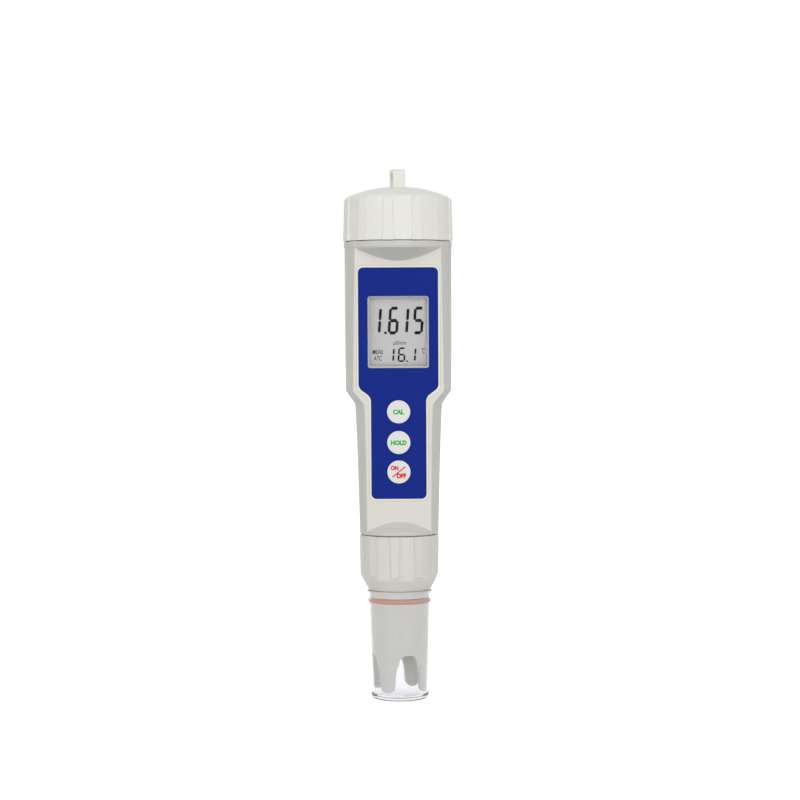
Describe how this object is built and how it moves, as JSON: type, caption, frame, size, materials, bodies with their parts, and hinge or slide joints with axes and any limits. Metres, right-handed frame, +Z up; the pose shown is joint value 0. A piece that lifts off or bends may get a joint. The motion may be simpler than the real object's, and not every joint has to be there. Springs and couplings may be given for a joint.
{
  "type": "conductivity meter",
  "caption": "Pen-type water conductivity meter with a tilted display face, push buttons, screw-on battery cap, plug-in probe with ribbed collar and clear protective cap.",
  "frame": {"origin": "centre of the flat foot of the clear cap, on which the meter stands upright", "axes": "+Z up the meter's axis to the lanyard loop; the display faces -Y; +X is to the right of someone who reads the display"},
  "size_m": [0.0388, 0.0388, 0.188],
  "materials": {
    "housing_plastic": "fine moulded ABS, light warm grey",
    "cap_plastic": "fine moulded ABS, light warm grey",
    "guard_plastic": "smooth moulded ABS, light grey",
    "label_print": "blue reverse-printed polycarbonate sheet",
    "clear_pane": "clear polished acrylic",
    "clear_cap": "clear moulded polystyrene",
    "display": "grey reflective liquid crystal cell",
    "display_frame": "white moulded plastic",
    "contact_rubber": "striped conductive rubber",
    "board": "green solder mask on glass laminate",
    "chips": "black moulded epoxy",
    "switches": "black plastic",
    "button_plastic": "white moulded plastic, printed",
    "seal_rubber": "grey silicone rubber",
    "chassis_plastic": "black moulded ABS",
    "steel": "zinc-plated steel",
    "cell_steel": "nickel-plated steel",
    "contact_metal": "nickel-plated spring brass",
    "gold_pin": "gold-plated brass",
    "grip_rubber": "red silicone rubber",
    "black_rubber": "black nitrile rubber",
    "core_plastic": "black potting epoxy",
    "electrode": "bare metal electrode"
  },
  "bodies": {
    "housing": {"main_housing": "housing_plastic", "front_label": "label_print", "display_window": "clear_pane", "lcd_panel": "display", "lcd_holder": "display_frame", "zebra_strips": "contact_rubber", "circuit_board": "board", "board_chips": "chips", "button_switches": "switches", "keypad_seal": "seal_rubber", "inner_chassis": "chassis_plastic", "board_screws": "steel", "button_cells": "cell_steel", "battery_base_contact": "contact_metal", "battery_return_strip": "contact_metal", "cap_seal_ring": "black_rubber", "probe_socket": "switches"},
    "cap_contact": {"cap_contact_plate": "contact_metal"},
    "battery_cap": {"battery_cap": "cap_plastic"},
    "probe": {"probe_stem": "guard_plastic", "probe_pins": "gold_pin", "probe_seal_ring": "black_rubber", "probe_guard": "guard_plastic", "cap_grip_ring": "grip_rubber", "sensor_core": "core_plastic", "electrode_pins": "electrode", "temperature_sensor": "electrode"},
    "collar": {"probe_collar": "cap_plastic"},
    "clear_cap": {"protective_cap": "clear_cap"},
    "calibrate_button": {"calibrate_button": "button_plastic"},
    "hold_button": {"hold_button": "button_plastic"},
    "power_button": {"power_button": "button_plastic"}
  },
  "joints": [
    {"name": "cap_lift", "type": "slide", "parent": "housing", "child": "cap_contact", "axis": [0, 0, 1], "range_m": [0, 0.006]},
    {"name": "cap_turn", "type": "hinge", "parent": "cap_contact", "child": "battery_cap", "pos_m": [0, 0, 0.1627], "axis": [0, 0, 1], "range_deg": [0, 1080]},
    {"name": "probe_draw", "type": "slide", "parent": "housing", "child": "probe", "axis": [0, 0, -1], "range_m": [0, 0.006]},
    {"name": "collar_turn", "type": "hinge", "parent": "probe", "child": "collar", "pos_m": [0, 0, 0.05], "axis": [0, 0, -1], "range_deg": [0, 1080]},
    {"name": "clear_cap_pull", "type": "slide", "parent": "probe", "child": "clear_cap", "axis": [0, 0, -1], "range_m": [0, 0.042]},
    {"name": "calibrate_push", "type": "slide", "parent": "housing", "child": "calibrate_button", "axis": [0, 0.9995, 0.0312], "range_m": [0, 0.0005], "stiffness_N_per_m": 800},
    {"name": "hold_push", "type": "slide", "parent": "housing", "child": "hold_button", "axis": [0, 0.9995, 0.0312], "range_m": [0, 0.0005], "stiffness_N_per_m": 800},
    {"name": "power_push", "type": "slide", "parent": "housing", "child": "power_button", "axis": [0, 0.9995, 0.0312], "range_m": [0, 0.0005], "stiffness_N_per_m": 800}
  ],
  "couplings": [
    {"joint": "cap_lift", "follows": "cap_turn", "m_per_rad": 0.00031831},
    {"joint": "probe_draw", "follows": "collar_turn", "m_per_rad": 0.00031831}
  ]
}
